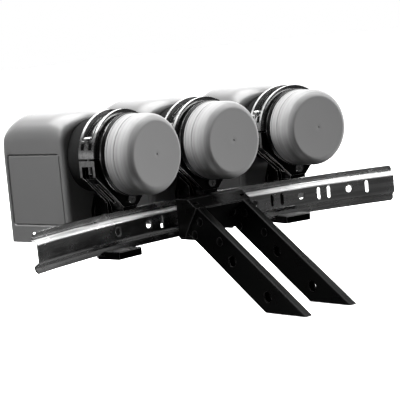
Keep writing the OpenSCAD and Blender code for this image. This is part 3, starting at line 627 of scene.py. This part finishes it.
ROUND_HALF, SLOT_HALF, SLOT_TALL, BOLT_HALF = 2.9, 1.6, 5.0, 3.05
BOLT_ANGLE = math.degrees(math.asin(12.6 / RAIL_R))
openings = sorted(
    [(angle, ROUND_HALF, ROUND_HALF) for angle in (-10.5, -6.3, 7.2, 12.7, 18.2)]
    + [(angle, SLOT_HALF, SLOT_TALL) for angle in (-4.6, 9.25, 10.4, 14.75, 15.9, 20.25)]
    + [(angle, BOLT_HALF, BOLT_HALF) for angle in (-BOLT_ANGLE, BOLT_ANGLE)])


def rail_section():
    """Half section of the rail's sheet, (height, depth) through its middle: flat web, bent knee and lip. The
    straight lines between its corners are joined by arcs round them."""
    tall = (rail_high - rail_low)[2]
    corners = np.array([[0.0, SHEET / 2], [7.0, SHEET / 2], [9.8, RAIL_DEEP - SHEET / 2],
                        [tall / 2 - SHEET / 4, RAIL_DEEP - SHEET / 2 - 1.7]])
    path = [corners[0]]
    for number, radius in ((1, 2.0), (2, 1.6)):
        before, corner, after = corners[number - 1:number + 2]
        u = (before - corner) / np.linalg.norm(before - corner)
        v = (after - corner) / np.linalg.norm(after - corner)
        half_angle = math.acos(np.clip(u @ v, -1, 1)) / 2
        cut = radius / math.tan(half_angle)
        middle = corner + (u + v) / np.linalg.norm(u + v) * radius / math.sin(half_angle)
        first, last = corner + u * cut - middle, corner + v * cut - middle
        for share in np.linspace(0, 1, 8):
            spoke = first * (1 - share) + last * share
            path.append(middle + spoke / np.linalg.norm(spoke) * radius)
    lip_start = path[-1]
    path += [lip_start + (corners[3] - lip_start) * t for t in np.linspace(0, 1, 10)[1:]]
    return np.array(path)


def hole_outline(directions, half_wide, half_tall):
    """Where rays from a hole's middle meet its outline: a circle, or a slot with round ends."""
    unit = directions / np.linalg.norm(directions, axis=1)[:, None]
    if half_wide == half_tall:
        return unit * half_wide
    run = half_tall - half_wide
    side = half_wide / np.maximum(np.abs(unit[:, 0]), 1e-9)
    lift = np.abs(unit[:, 1])
    reach = run * lift + np.sqrt(np.maximum(half_wide ** 2 - (run * unit[:, 0]) ** 2, 0))
    return unit * np.where(side * lift <= run, side, reach)[:, None]


def patch_span(angle, half_wide, half_tall):
    """First and last angle of the web's patch round an opening."""
    reach = (half_wide + PATCH_MARGIN) / PER_DEGREE
    if half_wide < half_tall:
        reach = min(reach, SLOT_REACH)
    return angle - reach, angle + reach


def stretch(start, end, steps):
    """Even angles from start up to end, which is left out."""
    return list(np.linspace(start, end, steps, endpoint=False))


def rail_columns():
    """Angles of the rail's cross-sections and the number of each opening's first one: even over an opening
    and between two of them, and closing up toward both ends as a quarter circle's cosine does."""
    tip = TIP_STRETCH / PER_DEGREE
    closing = tip * np.cos(np.linspace(0, np.pi / 2, 9))
    spans = [patch_span(*opening) for opening in openings]
    near, far = RAIL_ENDS[0] + tip, RAIL_ENDS[1] - tip
    angles = list(near - closing)[:-1]
    angles += stretch(near, spans[0][0], max(2, int((spans[0][0] - near) / COLUMN_STEP)) - 1)
    firsts = []
    for number, (start, end) in enumerate(spans):
        firsts.append(len(angles))
        angles += stretch(start, end, PATCH_COLUMNS)
        if number + 1 < len(spans):
            following = spans[number + 1][0]
            angles += stretch(end, following, max(1, math.ceil((following - end) / COLUMN_STEP)))
    angles += stretch(spans[-1][1], far, max(2, int((far - spans[-1][1]) / COLUMN_STEP)) - 1)
    return np.array(angles + list(RAIL_ENDS[1] - closing)), firsts


def carried(angle, height, depth):
    """From an angle along the rail, a height and a depth to the frame."""
    turn = np.radians(angle)
    reach = RAIL_R + depth
    axes = np.broadcast_arrays(reach * np.sin(turn), reach * np.cos(turn), height)
    return rail_centre + np.stack(axes, axis=-1)


def lip_grids(angles):
    """The rail above and below its flat strip: the section swept along the angles, shortened toward both ends
    by the quarter circle that rounds the lip's corners."""
    section = rail_section()
    height, depth = np.concatenate([[[WEB_FLAT, SHEET / 2]], section[section[:, 0] > WEB_FLAT + 0.05]]).T
    short = np.maximum(0, LIP_CORNER - (height[-1] + 0.3 - height))
    trim = (LIP_CORNER - np.sqrt(np.maximum(LIP_CORNER ** 2 - short ** 2, 0))) / PER_DEGREE
    tip = TIP_STRETCH / PER_DEGREE
    near = np.clip(1 - (angles - RAIL_ENDS[0]) / tip, 0, 1)[:, None]
    far = np.clip(1 - (RAIL_ENDS[1] - angles) / tip, 0, 1)[:, None]
    swept = angles[:, None] + near * trim - far * trim
    return [carried(swept, up * height, depth) for up in (1, -1)]


def opening_ring(along, middle, half_wide, half_tall):
    """Ring patch from a rectangle of the web, whose columns are the angles along, to an opening's outline,
    with the rim of a round one pressed back a little."""
    across = np.linspace(-WEB_FLAT, WEB_FLAT, 13)
    loop = np.concatenate([
        np.stack([along, np.full(len(along), -WEB_FLAT)], axis=1)[:-1],
        np.stack([np.full(len(across), along[-1]), across], axis=1)[:-1],
        np.stack([along[::-1], np.full(len(along), WEB_FLAT)], axis=1)[:-1],
        np.stack([np.full(len(across), along[0]), across[::-1]], axis=1)[:-1]])
    offset = (loop - [middle, 0]) * [PER_DEGREE, 1]
    rim = hole_outline(offset, half_wide, half_tall)
    share = np.array([0, 0.35, 0.6, 0.72, 0.86, 1])[:, None, None]
    ring = offset * (1 - share) + rim * share
    pressed = np.array([0, 0, 0.02, 0.12, 0.35, 0.5])[:, None] * (half_wide == half_tall)
    return carried(middle + ring[..., 0] / PER_DEGREE, ring[..., 1], SHEET / 2 + pressed), True


def make_rail():
    """One bent sheet: the section's path swept round the rail's centre, with ring patches from rectangular
    cells to the outlines of its holes, and plain strips of web between them."""
    angles, firsts = rail_columns()
    lasts = [first + PATCH_COLUMNS for first in firsts]
    grids = lip_grids(angles)
    for first, last, opening in zip(firsts, lasts, openings):
        grids.append(opening_ring(angles[first:last + 1], *opening))
    across = np.linspace(-WEB_FLAT, WEB_FLAT, 13)
    for start, end in zip([0] + lasts, firsts + [len(angles) - 1]):
        grids.append(carried(angles[start:end + 1, None], across[None, :], SHEET / 2))
    piece = surface("rail_sheet", grids, sharp=RAIL_CRISP, weld=GRID_WELD)
    outward_from(piece, (rail_centre + [0, 3 * RAIL_R, 0]) * MM)
    sheet = piece.modifiers.new("sheet", "SOLIDIFY")
    sheet.thickness = SHEET_SEEN * MM
    sheet.offset = 0
    sheet.use_even_offset = True
    rounding(piece, RAIL_ROUNDED, RAIL_CRISP)
    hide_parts("rail")
    # painted highlight: a pale matt band along the upper bend in place of the lights' reflection
    paint_bend_highlight(finishes["chrome"], rail_pole, HIGHLIGHT_BAND_HEIGHTS)
    finish_piece(piece, "root", finishes["chrome"])


# ---------- castings, arms and screws ----------

def dress_nodes():
    """Rounds the edges of the castings, arms and screws, by widths in millimetres, and gives every CAD node
    that stays its finish."""
    rounded_nodes = {
        "arm_head": ("root", 0.2, "black_arms", "arm"),
        "feed_arm_left": ("root", 0.5, "black_arms", "arm"),
        "feed_arm_right": ("root", 0.5, "black_arms", "arm"),
        "arm_rivets": ("root", 0.25, "black_arms", "arm"),
        "rail_bolts": ("root", 0.2, "steel_fasteners", "steel"),
        "rail_nuts": ("root", 0.2, "steel_fasteners", "steel"),
    }
    for side in SIDES:
        carriage = "carriage_" + side
        rounded_nodes["clamp_base_" + side] = (carriage, 0.5, "black_casting", "casting")
        rounded_nodes["rail_jaw_" + side] = (carriage, 0.35, "black_casting", "jaw")
        rounded_nodes["clamp_bow_" + side] = (carriage, 0.3, "zinc_clamp", "bow")
        rounded_nodes["ring_screws_" + side] = (carriage, 0.15, "steel_fasteners", "steel")
        rounded_nodes["jaw_screw_" + side] = (carriage, 0.2, "steel_fasteners", "steel")
    dressed = {}
    for node, (body, width, slot, look) in rounded_nodes.items():
        worn = finishes.get(look + "_edge")
        dressed[node] = finish_piece(softened(node, width, worn), body, finishes[look], worn)
    rim = box_at_middle("clamp_bow_middle")[1][0] - 0.4

    def round_outside(place, facing):
        """The bow's round outside, but not its front and back."""
        return (np.hypot(place[:, 0], place[:, 2]) > rim) & (np.abs(facing[:, 1]) < 0.5)

    def flat_flanks(place, facing):
        """The base's outermost faces that look left or right."""
        return (np.abs(place[:, 0]) > rim) & (np.abs(facing[:, 0]) > 0.9)

    for side in SIDES:
        rub_faces(dressed["clamp_bow_" + side], side, round_outside)
        rub_faces(dressed["clamp_base_" + side], side, flat_flanks)
    plain = {"rail_spacers": "steel"}
    for side in SIDES:
        plain["feed_horn_" + side] = "aluminium"
        plain["converter_body_" + side] = "neck"
        plain["converter_board_" + side] = "board"
        plain["port_plate_" + side] = "aluminium"
        plain["ports_" + side] = "steel"
    for node, look in plain.items():
        materials = frame["nodes"][node].data.materials
        materials.clear()
        materials.append(finishes[look])


# ---------- floor and light ----------

FLOOR_HALF = 6
FLOOR_BELOW = 0.0005
GLOW = Vector((0.63, 0.7, 0.33))        # way to the middle of the surround's glow
# greys from the far side of the surround to the middle of its glow
WORLD_STOPS = ((0.0, 0.02), (0.3, 0.025), (0.5, 0.03), (0.7, 0.04), (0.86, 0.15), (0.93, 0.9), (1.0, 1.3))
WORLD_POWER = 2.3


def make_floor():
    """Plain pale floor under the part, which neither shows in the surfaces nor lights them from below."""
    level = cad_box[0][2] - FLOOR_BELOW
    corners = ((-1, -1), (1, -1), (1, 1), (-1, 1))
    mesh = bpy.data.meshes.new("floor")
    mesh.from_pydata([(x * FLOOR_HALF, y * FLOOR_HALF, level) for x, y in corners], [], [(0, 1, 2, 3)])
    floor = bpy.data.objects.new("floor", mesh)
    bpy.context.scene.collection.objects.link(floor)
    floor.data.materials.append(finishes["floor"])
    floor.visible_glossy = False
    floor.visible_diffuse = False
    floor.visible_shadow = False


def make_world():
    """Studio surround: white to the camera, and to the surfaces a glow behind the part, on its right and a
    little above, that fades down to a dark ground on the viewer's side."""
    world = bpy.data.worlds.new("studio")
    world.use_nodes = True
    bpy.context.scene.world = world
    way = add_node(world, "ShaderNodeTexCoord").outputs["Generated"]
    middle = GLOW.normalized()
    toward = add_node(world, "ShaderNodeVectorMath", {1: middle}, {0: way}, operation="DOT_PRODUCT")
    glow = ramped(world, mapped(world, toward.outputs["Value"], -1, 1), WORLD_STOPS)
    surround = world.node_tree.nodes["Background"]
    surround.inputs["Strength"].default_value = WORLD_POWER
    white = add_node(world, "ShaderNodeBackground", {"Color": (1, 1, 1, 1)})
    seen = add_node(world, "ShaderNodeLightPath").outputs["Is Camera Ray"]
    mix = add_node(world, "ShaderNodeMixShader", links={
        "Fac": seen, 1: surround.outputs["Background"], 2: white.outputs["Background"]})
    tree = world.node_tree
    tree.links.new(glow, surround.inputs["Color"])
    tree.links.new(mix.outputs["Shader"], tree.nodes["World Output"].inputs["Surface"])


def softbox(name, azimuth, elevation, distance, width, height, power):
    """Area light at a bearing from the middle cap's face: azimuth from the front, counted to the right, and
    elevation, both in degrees; distance and sizes in metres, power in watts."""
    a, e = math.radians(azimuth), math.radians(elevation)
    way = Vector((math.sin(a) * math.cos(e), -math.cos(a) * math.cos(e), math.sin(e)))
    data = bpy.data.lights.new(name, "AREA")
    data.shape = "RECTANGLE"
    data.size, data.size_y, data.energy = width, height, power
    lamp = bpy.data.objects.new(name, data)
    lamp.location = Vector(stations["middle"][0]) + way * distance
    lamp.rotation_mode = "QUATERNION"
    lamp.rotation_quaternion = way.to_track_quat("Z", "Y")
    bpy.context.scene.collection.objects.link(lamp)
    return lamp


def make_lights():
    """Main softbox overhead and a little behind; two from the left and behind, one from the right front and a
    weak fill, which all stay out of the polished surfaces; a strip and dim cards that only those show."""
    softbox("overhead", 175, 72, 1.2, 1.4, 1.0, 37)
    softbox("left", -128, 30, 1.5, 0.7, 0.9, 15).visible_glossy = False
    softbox("top_left", -112, 48, 1.5, 1.0, 0.8, 62).visible_glossy = False
    softbox("right_front", 62, 12, 1.8, 0.5, 0.6, 94).visible_glossy = False
    softbox("fill", -50, 15, 1.8, 0.8, 0.8, 5).visible_glossy = False
    softbox("top_strip", 60, 62, 1.0, 0.4, 1.0, 9).visible_diffuse = False
    softbox("left_card", -116, 2, 1.5, 2.2, 0.3, 0.9).visible_diffuse = False
    softbox("back_left_card", -160, 28, 1.5, 0.5, 0.7, 1.6).visible_diffuse = False
    softbox("low_card", -42, -64, 1.0, 0.7, 0.5, 4.2).visible_diffuse = False


finishes = {
    "cap": moulded_plastic("cap_plastic", 0.14, 0.4, 0.3, ringed=True),
    "hood": moulded_plastic("hood_plastic", 0.06, 0.33, 0.7),
    "collar": polished_metal("dark_collar", 0.03, 0.3),
    "chrome": rolled_metal("chrome", 0.88, 0.22, rail_pole),
    "bow": cast_metal("zinc_casting", 0.36, 0.22),
    "bow_edge": polished_metal("bright_zinc_edge", 0.66, 0.25),
    "casting": cast_metal("dark_casting", 0.018, 0.24),
    "casting_edge": polished_metal("rubbed_casting", 0.6, 0.3),
    "jaw": cast_metal("black_jaw", 0.008, 0.3),
    "jaw_edge": polished_metal("rubbed_jaw", 0.25, 0.3),
    "arm": black_paint("black_arms", 0.0015, 0.3, 0.07),
    "arm_edge": black_paint("rubbed_paint", 0.02, 0.3, 0.4),
    "steel": polished_metal("bright_steel", 0.45, 0.2),
    # the neck's paint is much darker than the hood's grey: painted shade between the clamp bow and the hood
    "neck": black_paint("neck_paint_and_shade", 0.008, 0.6, 0.01),
    "aluminium": cast_metal("cast_aluminium", 0.6, 0.4),
    "board": moulded_plastic("circuit_board", 0.05, 0.5),
    "floor": new_material("floor", 0.92, 0.8, specular=0.1, glow=0.6),
}

make_caps()
make_collars()
make_hoods()
make_rail()
dress_nodes()
make_floor()
make_world()
make_lights()
bpy.context.scene.view_settings.view_transform = "Standard"
make_camera()
